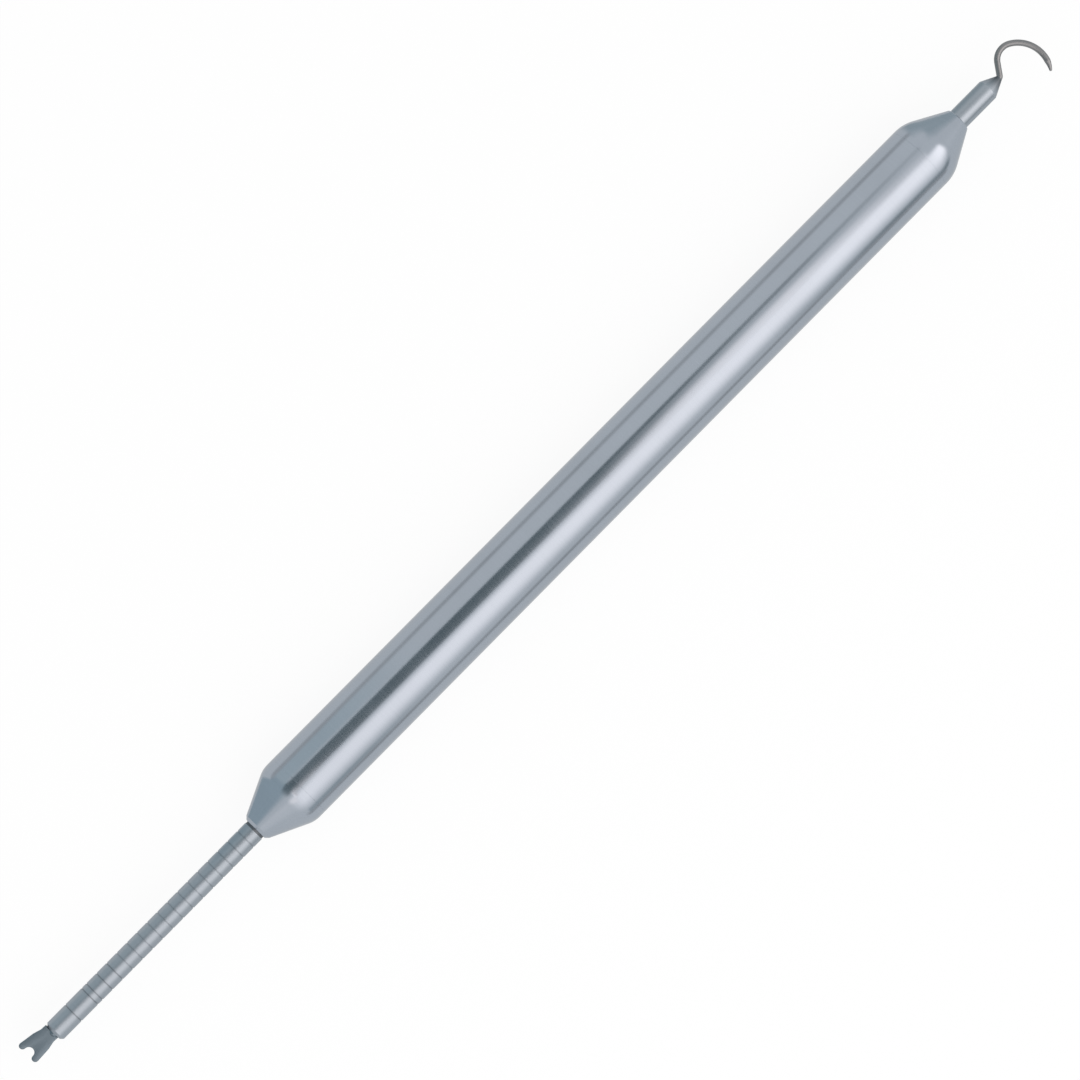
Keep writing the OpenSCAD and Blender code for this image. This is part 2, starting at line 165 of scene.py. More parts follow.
@dataclass(frozen=True)
class Finish:
    """Surface with tool lines, a soft haze and small swings of colour, all placed by Object coordinates."""

    name: str
    colour: Colour
    roughness: float
    grain: Grain
    metallic: float = 1.0
    line_pitch: float = 0.22 * MM
    line_depth: float = 0.25 * MICRON
    haze_size: float = 7.0 * MM
    haze_swing: float = 0.03
    colour_swing: float = 0.04
    edge_tint: float = 0.82
    # Painted shade: the colour falls to the last share between the first two places on X.
    shade_from: float = 0.0
    shade_to: float = 0.0
    painted_shade: float = 1.0

    LINE_DETAIL, HAZE_DETAIL, HAZE_SHARE, BUMP_STRENGTH = 2.0, 3.0, 0.6, 0.5
    NOISE_RANGE = (0.3, 0.7)

    def material(self) -> Material:
        """Returns the material, which is made on its first use."""
        return bpy.data.materials.get(self.name) or self.make()

    def dress(self, mesh: Mesh) -> None:
        """Gives a mesh this finish alone."""
        mesh.materials.clear()
        mesh.materials.append(self.material())

    def shade(self, factor: float) -> tuple[float, float, float, float]:
        """Returns the finish's colour times a factor, with alpha."""
        red, green, blue = (min(1.0, part * factor) for part in self.colour)
        return red, green, blue, 1.0

    def painted_shade_along_x(self, sketch: NodeSketch, place: Any, colour: Any) -> NodeSocket:
        """Paints shade along X: the colour darkens between two places on X.

        Args:
            sketch: Tree of the material.
            place: Object coordinates.
            colour: Colour without the painted shade.

        Returns:
            The stained colour.
        """
        along = sketch.out("SeparateXYZ", {"Vector": place})
        share = sketch.ramp(along, (self.shade_from, self.shade_to), (1.0, self.painted_shade))
        return sketch.out("VectorMath", {0: colour, "Scale": share}, operation="SCALE")

    def make(self) -> Material:
        """Builds the node tree.

        Returns:
            The new material.
        """
        material, sketch = new_material(self.name)
        place = sketch.add("TexCoord").outputs["Object"]
        spread = tuple(share / self.line_pitch for share in self.grain.value)
        along = sketch.out("Mapping", {"Vector": place, "Scale": spread})
        lines = sketch.out("TexNoise", {"Vector": along, "Scale": 1.0, "Detail": self.LINE_DETAIL})
        haze = sketch.out("TexNoise", {"Vector": place, "Scale": 1.0 / self.haze_size, "Detail": self.HAZE_DETAIL})
        both = sketch.out("Mix", {"Factor": self.HAZE_SHARE, "A": lines, "B": haze})
        swing = 2.0 * self.colour_swing
        colour = sketch.blend(both, self.shade(1.0 - swing), self.shade(1.0 + swing))
        # Painted shade, darker towards the end of its range on X.
        if self.painted_shade < 1.0:
            colour = self.painted_shade_along_x(sketch, place, colour)
        shine = (self.roughness - self.haze_swing, self.roughness + self.haze_swing)
        rough = sketch.ramp(both, self.NOISE_RANGE, shine, "LINEAR")
        bump = sketch.out("Bump", {"Strength": self.BUMP_STRENGTH, "Distance": self.line_depth, "Height": lines})
        edge = (self.edge_tint, self.edge_tint, self.edge_tint, 1.0)
        coat = {"Metallic": self.metallic, "Specular Tint": edge, "Roughness": rough, "Normal": bump}
        surface = sketch.out("BsdfPrincipled", {"Base Color": colour, **coat})
        sketch.add("OutputMaterial", {"Surface": surface})
        return material


POLISHED_STEEL = Finish("polished_barrel", (0.338, 0.378, 0.428), 0.17, Grain.AROUND, line_depth=0.12 * MICRON)
STEM_STEEL = Finish("satin_stem", (0.301, 0.34, 0.378), 0.34, Grain.AROUND, haze_size=3.0 * MM)
SCALE_MARK = Finish("scale_mark", (0.25, 0.282, 0.314), 0.4, Grain.CLOUDED, haze_size=0.6 * MM)
BOLD_MARK = Finish("bold_mark", (0.205, 0.231, 0.257), 0.4, Grain.CLOUDED, haze_size=0.6 * MM)
# Zero ring fill, darker than the other marks: a real zero line, plus painted shade of the gap between the stem and the
# barrel's mouth.
ZERO_MARK_AND_GAP_SHADE = Finish("zero_mark_and_gap_shade", (0.12, 0.134, 0.148), 0.45, Grain.CLOUDED, haze_size=0.6 * MM)
HOOK_STEEL = Finish("drawn_hook", (0.212, 0.217, 0.222), 0.32, Grain.ALONG, line_pitch=0.08 * MM)
# Painted dark reflection: the fork's steel gets a darker colour that stands in for the dark reflection on its flat
# faces.
FORK_STEEL_PAINTED_DARK = Finish(
    "ground_fork_painted_dark_reflection", (0.147, 0.185, 0.214), 0.36, Grain.ALONG, line_pitch=0.1 * MM, haze_size=1.2 * MM,
    haze_swing=0.06, colour_swing=0.1,
)
SPRING_STEEL = Finish("spring_wire", (0.27, 0.28, 0.3), 0.3, Grain.ALONG, line_pitch=0.1 * MM)
WASHER_STEEL = Finish("stamped_washer", (0.46, 0.475, 0.5), 0.3, Grain.CLOUDED, line_pitch=0.15 * MM)
BUSH_BRONZE = Finish("sintered_bronze", (0.43, 0.27, 0.12), 0.34, Grain.AROUND, line_pitch=0.12 * MM)
NUT_BRASS = Finish("turned_brass", (0.6, 0.43, 0.17), 0.3, Grain.AROUND, line_pitch=0.12 * MM)
BUFFER_WHITE = Finish("moulded_buffer", (0.78, 0.78, 0.76), 0.45, Grain.CLOUDED, metallic=0.0, haze_size=1.5 * MM)


class Corner(NamedTuple):
    """Corner of a turned outline: place along the axis, radius, and the radius that rounds it."""

    x: float
    r: float
    round: float = 0.0


def rounded(corners: list[Corner], closed: bool) -> list[Point2]:
    """Turns corners into outline points, with an arc at each rounded corner.

    Args:
        corners: Corners in order.
        closed: Whether the last corner joins the first.

    Returns:
        Points as (x, r).
    """
    points: list[Point2] = []
    for i, corner in enumerate(corners):
        here = Vector((corner.x, corner.r))
        if corner.round == 0.0 or (not closed and i in (0, len(corners) - 1)):
            points.append((here.x, here.y))
            continue
        before, after = corners[i - 1], corners[(i + 1) % len(corners)]
        back = (Vector((before.x, before.r)) - here).normalized()
        ahead = (Vector((after.x, after.r)) - here).normalized()
        turn = math.pi - back.angle(ahead)
        tangent = corner.round * math.tan(turn / 2.0)
        centre = here + (back + ahead).normalized() * (corner.round / math.cos(turn / 2.0))
        start, end = here + back * tangent - centre, here + ahead * tangent - centre
        count = max(3, round(turn / ARC_STEP))
        for k in range(count + 1):
            share = k / count
            spoke = (start * math.sin((1.0 - share) * turn) + end * math.sin(share * turn)) / math.sin(turn)
            points.append(((centre + spoke).x, (centre + spoke).y))
    return supported(points, closed)


def supported(points: list[Point2], closed: bool) -> list[Point2]:
    """Adds a point near both ends of each long straight, so that its shading stays true.

    Args:
        points: Outline points.
        closed: Whether the last point joins the first.

    Returns:
        The longer list of points.
    """
    reach, least_run = SUPPORT_REACH, 8.0 * SUPPORT_REACH
    made: list[Point2] = []
    pairs = zip(points, points[1:] + points[:1] if closed else points[1:] + [points[-1]])
    for (x0, r0), (x1, r1) in pairs:
        made.append((x0, r0))
        run = math.hypot(x1 - x0, r1 - r0)
        if run > least_run:
            for share in (reach / run, 1.0 - reach / run):
                made.append((x0 + (x1 - x0) * share, r0 + (r1 - r0) * share))
    return made


def finish_mesh(mesh: Mesh) -> None:
    """Joins doubled points, turns faces outwards and sets smooth shading with sharp edges.

    Args:
        mesh: Mesh to finish.
    """
    sheet = bmesh.new()
    sheet.from_mesh(mesh)
    bmesh.ops.remove_doubles(sheet, verts=sheet.verts, dist=WELD_REACH)
    bmesh.ops.recalc_face_normals(sheet, faces=sheet.faces)
    sheet.to_mesh(mesh)
    sheet.free()
    mesh.shade_smooth()
    mesh.set_sharp_from_angle(angle=SHARP_ANGLE)


def add_object(name: str, data: Any) -> Object:
    """Links a mesh, a lamp or a camera to the scene.

    Args:
        name: Name of the object.
        data: What it holds.

    Returns:
        The new object, at the origin.
    """
    piece = bpy.data.objects.new(name, data)
    bpy.context.scene.collection.objects.link(piece)
    return piece


def lathe(name: str, corners: list[Corner], axis_z: float, sides: int, closed: bool = True) -> Object:
    """Turns an outline round the instrument's axis.

    Args:
        name: Name of the piece.
        corners: Outline. An open one starts and ends on the axis.
        axis_z: Height of the axis.
        sides: Faces round the axis.
        closed: Whether the outline is a closed loop.

    Returns:
        The turned piece.
    """
    points = rounded(corners, closed)
    verts = []
    for x, r in points:
        for k in range(sides):
            angle = 2.0 * math.pi * k / sides
            verts.append((x, r * math.sin(angle), axis_z + r * math.cos(angle)))
    faces = []
    spans = len(points) if closed else len(points) - 1
    for i in range(spans):
        a, b = i * sides, (i + 1) % len(points) * sides
        for k in range(sides):
            n = (k + 1) % sides
            faces.append((a + k, a + n, b + n, b + k))
    mesh = bpy.data.meshes.new(name)
    mesh.from_pydata(verts, [], faces)
    finish_mesh(mesh)
    return add_object(name, mesh)


def plate(name: str, length: float, width: float, material: Material) -> Object:
    """Makes a flat rectangle with its middle at the origin.

    Args:
        name: Name of the object.
        length: Size along X.
        width: Size along Y.
        material: Its material.

    Returns:
        The new object.
    """
    x, y = length / 2.0, width / 2.0
    mesh = bpy.data.meshes.new(name)
    mesh.from_pydata([(-x, -y, 0.0), (x, -y, 0.0), (x, y, 0.0), (-x, y, 0.0)], [], [(0, 1, 2, 3)])
    mesh.materials.append(material)
    return add_object(name, mesh)


def apply_modifiers(piece: Object) -> None:
    """Leaves a piece with the plain mesh that its modifiers make.

    Args:
        piece: Object with modifiers.
    """
    graph = bpy.context.evaluated_depsgraph_get()
    mesh = bpy.data.meshes.new_from_object(piece.evaluated_get(graph), depsgraph=graph)
    piece.modifiers.clear()
    start = piece.data
    piece.data = mesh
    mesh.name = piece.name
    bpy.data.meshes.remove(start)
    finish_mesh(mesh)


class Recipe(NodeSketch):
    """Geometry Nodes tree with named inputs, which is run once on a piece and leaves a plain mesh."""

    PREFIX = "GeometryNode"

    def __init__(self, name: str, sizes: list[str], finishes: list[str]) -> None:
        """Starts a tree.

        Args:
            name: Name of the tree.
            sizes: Names of its inputs for numbers.
            finishes: Names of its inputs for materials.
        """
        tree = bpy.data.node_groups.new(name, "GeometryNodeTree")
        super().__init__(tree)
        self.names: dict[str, str] = {}
        for way in ("INPUT", "OUTPUT"):
            tree.interface.new_socket("Geometry", in_out=way, socket_type="NodeSocketGeometry")
        kinds = dict.fromkeys(sizes, "NodeSocketFloat") | dict.fromkeys(finishes, "NodeSocketMaterial")
        for label, kind in kinds.items():
            socket = tree.interface.new_socket(label, in_out="INPUT", socket_type=kind)
            self.names[label] = socket.identifier
        self.given = self.add("NodeGroupInput").outputs

    def attribute(self, name: str) -> NodeSocket:
        """Returns the float attribute of that name."""
        return self.out("InputNamedAttribute", {"Name": name}, data_type="FLOAT")

    def store(self, geometry: Any, name: str, value: Any) -> NodeSocket:
        """Stores a float on the points and returns the geometry."""
        return self.out("StoreNamedAttribute", {"Geometry": geometry, "Name": name, "Value": value})

    def sweep(self, curve: Any, radius: Any, sides: int) -> NodeSocket:
        """Sweeps a circle along a curve.

        Args:
            curve: Curve to follow.
            radius: Radius at each point.
            sides: Faces round the curve.

        Returns:
            The swept mesh, with closed ends.
        """
        circle = self.out("CurvePrimitiveCircle", {"Resolution": sides, "Radius": 1.0})
        return self.out("CurveToMesh", {"Curve": curve, "Profile Curve": circle, "Scale": radius, "Fill Caps": True})

    def paint(self, mesh: Any, material: Any, selection: Any = True) -> NodeSocket:
        """Sets the material of the selected faces and returns the mesh."""
        return self.out("SetMaterial", {"Geometry": mesh, "Selection": selection, "Material": material})

    def close(self, mesh: Any) -> None:
        """Realizes the mesh and ends the tree."""
        whole = self.out("RealizeInstances", {"Geometry": mesh})
        self.add("NodeGroupOutput", {"Geometry": whole})

    def run(self, piece: Object, **values: Any) -> None:
        """Runs the tree on a piece and keeps the plain mesh.

        Args:
            piece: Object whose mesh the tree starts from.
            values: Values of the named inputs, with _ for a space.
        """
        modifier = piece.modifiers.new(self.tree.name, "NODES")
        modifier.node_group = self.tree
        for label, value in values.items():
            modifier[self.names[label.replace("_", " ")]] = value
        apply_modifiers(piece)


def seat(piece: Object, part: Part, node: str, finish: Finish | None = None) -> None:
    """Puts a finished piece in the place of its solid.

    Args:
        piece: Finished piece.
        part: Body that it rides on.
        node: Solid that it stands for.
        finish: Finish of the whole piece, unless its faces already have theirs.
    """
    if finish is not None:
        finish.dress(piece.data)
    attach(piece, part.value)
    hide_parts(node)
    LOG.info("%s: %d faces on %s", piece.name, len(piece.data.polygons), part.value)


@dataclass
class Axis:
    """Line that all turned pieces share, and the places along it, read from the solids."""

    height: float
    fork_mouth: float
    fork_seam: float
    hook_seam: float
    hook_mouth: float
    barrel_r: float
    stem_r: float

    @classmethod
    def read(cls) -> "Axis":
        """Reads the axis from the barrel's and the stem's solids."""
        tube_low, tube_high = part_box("barrel_tube")
        stem_low, stem_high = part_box("stem")
        return cls(
            height=(tube_low.z + tube_high.z) / 2.0,
            fork_mouth=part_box("fork_end_cap")[0].x,
            fork_seam=tube_low.x,
            hook_seam=tube_high.x,
            hook_mouth=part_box("hook_end_cap")[1].x,
            barrel_r=(tube_high.z - tube_low.z) / 2.0,
            stem_r=(stem_high.z - stem_low.z) / 2.0,
        )


@dataclass
class EndCap:
    """Cone with a straight band and a spigot that seats in the tube."""

    name: str
    mouth: float
    seam: float
    inward: float
    cone_len: float
    shoulder_r: float
    lip: float
    lip_bevel: float
    relief_depth: float
    relief_len: float = 0.6 * MM
    mouth_play: float = 0.08 * MM
    bush_wall: float = 0.75 * MM
    bush_len: float = 8.0 * MM
    lip_break: float = 0.03 * MM
    edge_break: float = 0.05 * MM
    spigot_break: float = 0.12 * MM

    def corners(self, axis: Axis, wall: float, seam_break: float) -> list[Corner]:
        """Lists the section's corners, from the mouth round the outside and back through the bore.

        Args:
            axis: Shared axis.
            wall: Wall of the tube.
            seam_break: Rounding of the seam's edges.

        Returns:
            Corners of the closed section.
        """
        mouth_r = axis.stem_r + self.mouth_play
        lip_r = mouth_r + self.lip
        spigot_r = axis.barrel_r - wall
        bush_r = axis.stem_r + self.bush_wall
        low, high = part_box(self.name)
        inner = high.x if self.inward > 0 else low.x
        bush_end = inner - self.inward * self.bush_len
        relief_end = self.seam + self.inward * self.relief_len
        outline = [
            Corner(self.mouth, mouth_r),
            Corner(self.mouth, lip_r - self.lip_bevel, self.lip_break),
            Corner(self.mouth + self.inward * self.lip_bevel, lip_r, self.edge_break),
            Corner(self.mouth + self.inward * self.cone_len, axis.barrel_r, self.shoulder_r),
            Corner(self.seam, axis.barrel_r, seam_break),
        ]
        if self.relief_depth > 0.0:
            outline += [
                Corner(self.seam, spigot_r - self.relief_depth),
                Corner(relief_end, spigot_r - self.relief_depth),
                Corner(relief_end, spigot_r, self.edge_break),
            ]
        else:
            outline.append(Corner(self.seam, spigot_r))
        return outline + [
            Corner(inner, spigot_r, self.spigot_break),
            Corner(inner, bush_r),
            Corner(bush_end, bush_r),
            Corner(bush_end, mouth_r),
        ]


@dataclass
class Barrel:
    """Polished tube between its two end caps."""

    axis: Axis
    wall: float = 0.8 * MM
    seam_break: float = 0.01 * MM

    def caps(self) -> list[EndCap]:
        """Returns the two end caps."""
        axis = self.axis
        return [
            EndCap(
                name="fork_end_cap", mouth=axis.fork_mouth, seam=axis.fork_seam, inward=1.0, cone_len=5.1 * MM,
                shoulder_r=3.2 * MM, lip=0.41 * MM, lip_bevel=0.35 * MM, relief_depth=0.0,
            ),
            EndCap(
                name="hook_end_cap", mouth=axis.hook_mouth, seam=axis.hook_seam, inward=-1.0, cone_len=4.7 * MM,
                shoulder_r=4.6 * MM, lip=0.15 * MM, lip_bevel=0.06 * MM, relief_depth=0.25 * MM,
            ),
        ]

    def build(self) -> None:
        """Turns the tube and its caps and dresses them."""
        axis = self.axis
        bore_r = axis.barrel_r - self.wall
        tube = [
            Corner(axis.fork_seam, bore_r),
            Corner(axis.fork_seam, axis.barrel_r, self.seam_break),
            Corner(axis.hook_seam, axis.barrel_r, self.seam_break),
            Corner(axis.hook_seam, bore_r),
        ]
        piece = lathe("polished_tube", tube, axis.height, BARREL_SIDES)
        seat(piece, Part.BARREL, "barrel_tube", POLISHED_STEEL)
        for cap in self.caps():
            corners = cap.corners(axis, self.wall, self.seam_break)
            piece = lathe("turned_" + cap.name, corners, axis.height, BARREL_SIDES)
            seat(piece, Part.BARREL, cap.name, POLISHED_STEEL)


class Feature(NamedTuple):
    """Station on a turned rod: place, rod radius there, and the width, depth and fill of a groove."""

    x: float
    radius: float
    width: float = 0.0
    depth: float = 0.0
    fill: float = 0.0


@dataclass
class Stem:
    """Rod with the engraved scale, which slides through the barrel."""

    axis: Axis
    divisions: int = 16
    faint_divisions: int = 13
    ring_pitch: float = 1.53 * MM
    ring_w: float = 0.15 * MM
    ring_depth: float = 0.06 * MM
    groove_wall: float = 0.01 * MM
    double_gap: float = 0.7 * MM
    end_ring_gap: float = 3.2 * MM
    zero_ring_w: float = 0.3 * MM
    chamfer: float = 0.3 * MM
    clip_depth: float = 0.3 * MM
    clip_play: float = 0.04 * MM
    thread_r: float = 0.8 * MM
    thread_chamfer: float = 0.2 * MM
    shoulder_step: float = 1.0 * MICRON

    FAINT_FILL, BOLD_FILL, ZERO_FILL = 0.5, 0.85, 2.0
    # Least fill of a face for each mark. A groove's wall has half the fill of its floor.
    LEAST_FILL = {"Scale Mark": 0.4, "Bold Mark": 0.6, "Zero Mark": 0.9}
    POINT_MERGE = 0.1 * MICRON

    def features(self) -> list[Feature]:
        """Lists the rod's ends, the rings of its scale and the grooves of its clips.

        Returns:
            The features, in no order.
        """
        mouth, radius = self.axis.fork_mouth, self.axis.stem_r
        low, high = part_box("stem")
        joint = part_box("hook_holder")[0].x
        scale_len = self.divisions * self.ring_pitch
        marks = [self.ring_pitch * (k + 1) for k in range(self.divisions)]
        marks += [scale_len + self.double_gap, scale_len + self.end_ring_gap]
        made = []
        for k, mark in enumerate(marks):
            fill = self.FAINT_FILL if k < self.faint_divisions else self.BOLD_FILL
            made.append(Feature(mouth - mark, radius, self.ring_w, self.ring_depth, fill))
        # The zero ring sits at the barrel's mouth. Its dark fill adds painted shade of the gap there.
        zero = mouth - self.zero_ring_w / 2.0
        made.append(Feature(zero, radius, self.zero_ring_w, self.ring_depth, self.ZERO_FILL))
        for clip in ("seat_clip", "travel_clip"):
            start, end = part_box(clip)
            width = end.x - start.x + self.clip_play
            made.append(Feature((start.x + end.x) / 2.0, radius, width, self.clip_depth))
        return made + [
            Feature(low.x, radius - self.chamfer),
            Feature(low.x + self.chamfer, radius),
            Feature(joint, radius),
            Feature(joint + self.shoulder_step, self.thread_r),
            Feature(high.x - self.thread_chamfer, self.thread_r),
            Feature(high.x, self.thread_r - self.thread_chamfer),
        ]

    def recipe(self) -> Recipe:
        """Builds the tree that cuts a groove at each feature and sweeps the rod.

        Returns:
            The finished tree.
        """
        recipe = Recipe("engraved_rod", ["Groove Wall"], ["Steel", *self.LEAST_FILL])
        maths, node, read, given = recipe.maths, recipe.out, recipe.attribute, recipe.given
        points = node("MeshToPoints", {"Mesh": given["Geometry"]})
        copies = recipe.add("DuplicateElements", {"Geometry": points, "Amount": 4}, domain="POINT")
        number = copies.outputs["Duplicate Index"]
        half = maths("MULTIPLY", read("groove_width"), 0.5)
        floor = maths("MAXIMUM", maths("SUBTRACT", half, given["Groove Wall"]), 0.0)
        # Of four points the first and last stay on the rim and the two between go to the floor.
        sunk = maths("COMPARE", number, 1.5, 1.0)
        reach = maths("MULTIPLY_ADD", floor, sunk, maths("MULTIPLY", half, maths("SUBTRACT", 1.0, sunk)))
        offset = maths("MULTIPLY", reach, maths("SIGN", maths("SUBTRACT", number, 1.5)))
        depth = maths("MULTIPLY", read("groove_depth"), sunk)
        cut = recipe.store(copies.outputs[0], "turned_r", maths("SUBTRACT", read("rod_r"), depth))
        cut = recipe.store(cut, "inlay", maths("MULTIPLY", read("groove_fill"), sunk))
        shift = node("ShaderNodeCombineXYZ", {"X": offset})
        cut = node("SetPosition", {"Geometry": cut, "Offset": shift})
        cut = node("MergeByDistance", {"Geometry": cut, "Distance": self.POINT_MERGE})
        along = node("ShaderNodeSeparateXYZ", {"Vector": node("InputPosition")})
        curve = node("PointsToCurves", {"Points": cut, "Weight": along})
        rod = recipe.sweep(curve, read("turned_r"), ROD_SIDES)
        rod = recipe.paint(rod, given["Steel"])
        for label, least in self.LEAST_FILL.items():
            inlaid = node("FunctionNodeCompare", {"A": read("inlay"), "B": least}, operation="GREATER_THAN")
            rod = recipe.paint(rod, given[label], inlaid)
        recipe.close(rod)
        return recipe

    def build(self) -> None:
        """Makes the rod from its features and dresses it."""
        features = self.features()
        mesh = bpy.data.meshes.new("engraved_stem")
        mesh.from_pydata([(item.x, 0.0, self.axis.height) for item in features], [], [])
        for column, name in enumerate(("rod_r", "groove_width", "groove_depth", "groove_fill"), start=1):
            values = mesh.attributes.new(name, "FLOAT", "POINT")
            values.data.foreach_set("value", [item[column] for item in features])
        piece = add_object("engraved_stem", mesh)
        self.recipe().run(
            piece, Groove_Wall=self.groove_wall, Steel=STEM_STEEL.material(), Scale_Mark=SCALE_MARK.material(),
            Bold_Mark=BOLD_MARK.material(), Zero_Mark=ZERO_MARK_AND_GAP_SHADE.material(),
        )
        seat(piece, Part.STEM, "stem")


class Stretch(NamedTuple):
    """Stretch of wire: its length, and its turn in degrees, 0 for a straight."""

    length: float
    turn: float


@dataclass
class HookEnd:
    """Stub with a conical nose, and the wire hook brazed into it."""

    axis: Axis
    nose_len: float = 1.7 * MM
    nose_tip_r: float = 0.42 * MM
    braze_len: float = 0.16 * MM
    wire_r: float = 0.35 * MM
    tip_r: float = 0.14 * MM
    taper_len: float = 1.2 * MM
    shank_len: float = 3.0 * MM
    root_r: float = 0.45 * MM
    root_turn: float = 54.0
    leg_len: float = 1.46 * MM
    knee_r: float = 1.85 * MM
    knee_turn: float = -84.0
    bow_r: float = 3.65 * MM
    bow_turn: float = -97.0
    course_step: float = 0.06 * MM
    screw_r: float = 0.8 * MM
    screw_len: float = 3.5 * MM
    joint_break: float = 0.04 * MM
    nose_round: float = 0.25 * MM
    nose_break: float = 0.03 * MM
    # Painted shade on the stub: its colour darkens over this length to the nose tip, where the wire meets it.
    shade_len: float = 1.8 * MM
    painted_shade: float = 0.4

    TIP_FULLNESS = 0.98

    def stretches(self) -> list[Stretch]:
        """Returns the wire's stretches from the end of its shank to its tip."""
        bends = [(self.root_r, self.root_turn), (self.knee_r, self.knee_turn), (self.bow_r, self.bow_turn)]
        root, knee, bow = (Stretch(r * math.radians(abs(turn)), turn) for r, turn in bends)
        return [Stretch(self.shank_len, 0.0), root, Stretch(self.leg_len, 0.0), knee, bow]

    def course(self, start: Vector) -> list[Vector]:
        """Follows the wire's middle line.

        Args:
            start: First point, at the end of the shank.

        Returns:
            Points along the line.
        """
        here, heading = start.copy(), 0.0
        points = [here.copy()]
        for stretch in self.stretches():
            count = max(2, math.ceil(stretch.length / self.course_step))
            share, chord = math.radians(stretch.turn) / count, stretch.length / count
            for _ in range(count):
                middle = heading + share / 2.0
                here += Vector((math.cos(middle), math.sin(middle), 0.0)) * chord
                heading += share
                points.append(here.copy())
        return points

    def recipe(self) -> Recipe:
        """Builds the tree that sweeps the wire, tapers it and rounds its tip.

        Returns:
            The finished tree.
        """
        recipe = Recipe("tapered_wire", ["Wire Radius", "Tip Radius", "Taper Length"], ["Steel"])
        maths, node, given = recipe.maths, recipe.out, recipe.given
        curve = node("MeshToCurve", {"Mesh": given["Geometry"]})
        run = recipe.add("SplineParameter").outputs["Length"]
        left = maths("SUBTRACT", node("SplineLength"), run)
        share = maths("MINIMUM", maths("DIVIDE", left, given["Taper Length"]), 1.0)
        grown = maths("SUBTRACT", given["Wire Radius"], given["Tip Radius"])
        radius = maths("MULTIPLY_ADD", grown, share, given["Tip Radius"])
        nose = maths("MAXIMUM", maths("SUBTRACT", 1.0, maths("DIVIDE", left, given["Tip Radius"])), 0.0)
        drop = maths("MULTIPLY", maths("POWER", nose, 2.0), self.TIP_FULLNESS)
        dome = maths("SQRT", maths("SUBTRACT", 1.0, drop))
        wire = recipe.sweep(curve, maths("MULTIPLY", radius, dome), WIRE_SIDES)
        recipe.close(recipe.paint(wire, given["Steel"]))
        return recipe

    def holder(self) -> Object:
        """Turns the stub, with its nose and the braze round the wire.

        Returns:
            The turned holder.
        """
        axis = self.axis
        low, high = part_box("hook_holder")
        nose = high.x - self.nose_len
        screw_end = low.x + self.screw_len
        corners = [
            Corner(screw_end, 0.0),
            Corner(screw_end, self.screw_r),
            Corner(low.x, self.screw_r),
            Corner(low.x, axis.stem_r, self.joint_break),
            Corner(nose, axis.stem_r, self.nose_round),
            Corner(high.x, self.nose_tip_r, self.nose_break),
            Corner(high.x + self.braze_len, self.wire_r),
            Corner(high.x + self.braze_len, 0.0),
        ]
        return lathe("hook_stub", corners, axis.height, ROD_SIDES, closed=False)

    def build(self) -> None:
        """Makes the holder and the wire and dresses them."""
        nose_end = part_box("hook_holder")[1].x
        shade_from = nose_end - self.shade_len
        # The stub's finish, with painted shade towards the nose tip.
        brazed = replace(STEM_STEEL, name="brazed_stub_painted_shade", shade_from=shade_from, shade_to=nose_end, painted_shade=self.painted_shade)
        seat(self.holder(), Part.STEM, "hook_holder", brazed)
        shank_end = nose_end - self.shank_len
        points = self.course(Vector((shank_end, 0.0, self.axis.height)))
        mesh = bpy.data.meshes.new("hook_bow")
        mesh.from_pydata(points, [(k, k + 1) for k in range(len(points) - 1)], [])
        piece = add_object("hook_bow", mesh)
        self.recipe().run(
            piece, Wire_Radius=self.wire_r, Tip_Radius=self.tip_r, Taper_Length=self.taper_len,
            Steel=HOOK_STEEL.material(),
        )
        seat(piece, Part.STEM, "hook_wire")


